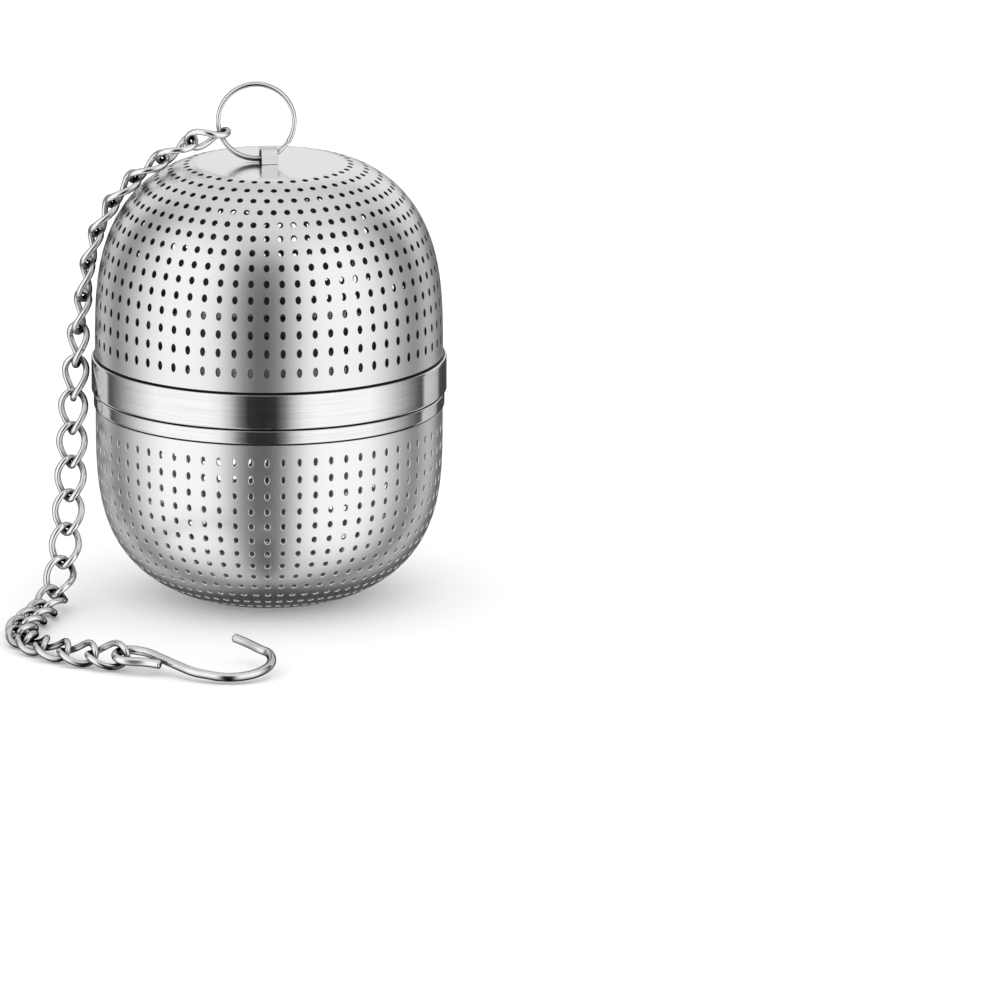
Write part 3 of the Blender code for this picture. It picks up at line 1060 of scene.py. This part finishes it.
def chain_frames():
    """[(body, node, matrix)] of the links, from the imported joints."""
    joints = {j["name"]: j for j in frame["record"]["behaviour"]["joints"]}
    swings = sorted(n for n in joints if n.startswith("link_"))
    holds = [Vector(joints[n]["pos_m"]) for n in swings]
    holds.append(Vector(joints["hook_swing"]["pos_m"]))
    made = []
    for k, name in enumerate(swings):
        x = (holds[k + 1] - holds[k]).normalized()
        axis = Vector(joints[name]["axis"])
        if k % 2:
            z = (axis - x * axis.dot(x)).normalized()
            y = z.cross(x)
        else:
            y = (axis - x * axis.dot(x)).normalized()
            z = x.cross(y)
        turn = Matrix((x, y, z)).transposed().to_4x4()
        body = joints[name]["child"]
        made.append((body, f"chain_link_{k + 1:02d}", Matrix.Translation(holds[k]) @ turn))
    return made, holds[-1]


def make_chain(material):
    half_length = LINK_PITCH / 2 + LINK_REACH
    line = []
    for i in range(LINK_STEPS):
        angle = math.tau * i / LINK_STEPS
        along = math.cos(angle)
        side = LINK_HALF_WIDTH * math.sin(angle)
        twist = LINK_TWIST * along
        line.append(Vector((LINK_PITCH / 2 + half_length * along,
                            side * math.cos(twist), side * math.sin(twist))))
    points, faces = tube(line, LINK_WIRE, 14, cyclic=True)
    frames, last = chain_frames()
    for body, node, matrix in frames:
        placed = [matrix @ p for p in points]
        piece = new_piece(f"{node}_wire", placed, faces, [material], body)
        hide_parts(node)
    return last


def arc(centre, radius, from_deg, to_deg, count):
    step = math.radians(to_deg - from_deg) / count
    start = math.radians(from_deg)
    return [
        (centre[0] + radius * math.cos(start + step * i),
         centre[1] + radius * math.sin(start + step * i))
        for i in range(count + 1)
    ]


def make_hook(material, hold):
    cut_end = [(0.0051, -0.0030), (0.0031, -0.0023)]
    loop = arc((HOOK_EYE_X, 0.0), HOOK_EYE_RADIUS, 265, 65, 8)
    shank = [(0.0034, 0.0009), (0.0056, -0.0013), (0.0076, -0.0034), (0.0098, -0.0055)]
    bend = arc((0.0148, -0.0015), HOOK_BEND_RADIUS, 240, 385, 10)
    tip = [(0.0188, 0.0022), (0.0171, 0.0042), (0.0154, 0.0059)]
    across = Vector((0.0, math.cos(HOOK_TILT), math.sin(HOOK_TILT)))
    along = Vector((1.0, 0.0, 0.0))
    knots = [hold + along * x + across * y for x, y in [*cut_end, *loop, *shank, *bend, *tip]]
    points, faces = tube(catmull(knots, 6), HOOK_WIRE, 20, chamfer=HOOK_CHAMFER)
    piece = new_piece("cup_hook_wire", points, faces, [material], "hook")
    sharpen(piece, 50)
    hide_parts("hook")


# ---------------------------------------------------------------- main

make_camera()
make_world()
make_floor()

# The lid's sheet carries painted contact shade near the eyelet, the ring and the chain.
satin_lid = steel("satin_lid", (0.90, 0.90, 0.91), satin_build(0.31, 0.7, DISC_RADIUS))
satin_bowl = steel("satin_bowl", (0.94, 0.94, 0.95), satin_build(0.29, 0.45))
# The lid's hole walls and its inside are painted dark as the shade inside the infuser; the bowl's
# keep the sheet's own brightness.
lid_hole = steel("lid_hole_painted_shade", (0.16, 0.16, 0.16), satin_build(0.35, 0.6))
bowl_hole = steel("bowl_hole_edge", (0.96, 0.96, 0.97), satin_build(0.5, 0.3))
lid_inside = steel("lid_inside", (0.24, 0.24, 0.25), satin_build(0.4, 0.8))
bowl_inside = steel("bowl_inside", (0.90, 0.90, 0.91), satin_build(0.5, 0.5))
# The neck's inner face is painted dark as the shade inside the infuser.
neck_inside = steel("neck_inside", (0.26, 0.26, 0.27), satin_build(0.35, 0.4))
# The joint's gap is painted dark as shade.
joint_gap = steel("joint_gap", (0.10, 0.10, 0.10), satin_build(0.5, 0.8))
brushed = steel("brushed_band", (0.90, 0.90, 0.91), brushed_build(0.1))
# The wire's colour carries painted crevice shade where links meet.
bright = steel("bright_wire", (0.94, 0.94, 0.95), polished_build(0.05))
strap = steel("strap", (0.88, 0.88, 0.89), satin_build(0.28, 0.8))

make_lid([satin_lid, lid_hole, lid_inside])
make_bowl([satin_bowl, bowl_hole, bowl_inside])
make_neck([brushed, joint_gap, neck_inside])
make_collar([brushed, joint_gap])
make_eyelet(strap)
make_ring(bright)
chain_end = make_chain(bright)
make_hook(bright, chain_end)

bpy.context.scene.view_settings.view_transform = "Standard"
